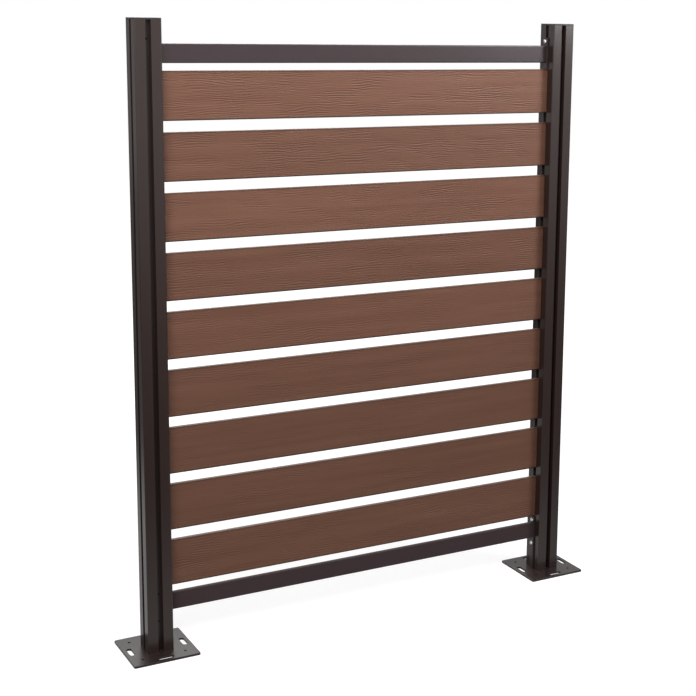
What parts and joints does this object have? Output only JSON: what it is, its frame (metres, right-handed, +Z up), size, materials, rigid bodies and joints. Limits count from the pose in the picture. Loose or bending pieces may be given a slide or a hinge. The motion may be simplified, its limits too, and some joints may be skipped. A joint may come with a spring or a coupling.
{
  "type": "garden privacy screen",
  "caption": "Free-standing garden privacy screen: slotted square metal posts on screw-down base plates, metal rails top and bottom, embossed wood-composite boards with open gaps between",
  "frame": {"origin": "on the ground, midway between the two posts", "axes": "+X along the panel to its right end as seen from the front, -Y to the front, +Z up"},
  "size_m": [1.215, 0.155, 1.43],
  "materials": {
    "post_coat": "satin dark brown powder coat",
    "plate_coat": "satin dark brown powder coat",
    "rail_coat": "satin dark brown powder coat",
    "bracket_coat": "satin dark brown powder coat",
    "cap_plastic": "satin dark brown moulding",
    "spacer_plastic": "matt black moulding",
    "board_composite": "embossed wood-plastic composite, matt",
    "screw_steel": "bright stainless"
  },
  "bodies": {
    "root": {"post_left": "post_coat", "post_cap_left": "cap_plastic", "base_plate_left": "plate_coat", "rail_bracket_top_left": "bracket_coat", "rail_bracket_bottom_left": "bracket_coat", "base_screws_left": "screw_steel", "bracket_screws_left": "screw_steel", "spacers_left": "spacer_plastic", "post_right": "post_coat", "post_cap_right": "cap_plastic", "base_plate_right": "plate_coat", "rail_bracket_top_right": "bracket_coat", "rail_bracket_bottom_right": "bracket_coat", "base_screws_right": "screw_steel", "bracket_screws_right": "screw_steel", "spacers_right": "spacer_plastic", "top_rail": "rail_coat", "bottom_rail": "rail_coat", "board_1": "board_composite", "board_2": "board_composite", "board_3": "board_composite", "board_4": "board_composite", "board_5": "board_composite", "board_6": "board_composite", "board_7": "board_composite", "board_8": "board_composite", "board_9": "board_composite"}
  },
  "joints": []
}
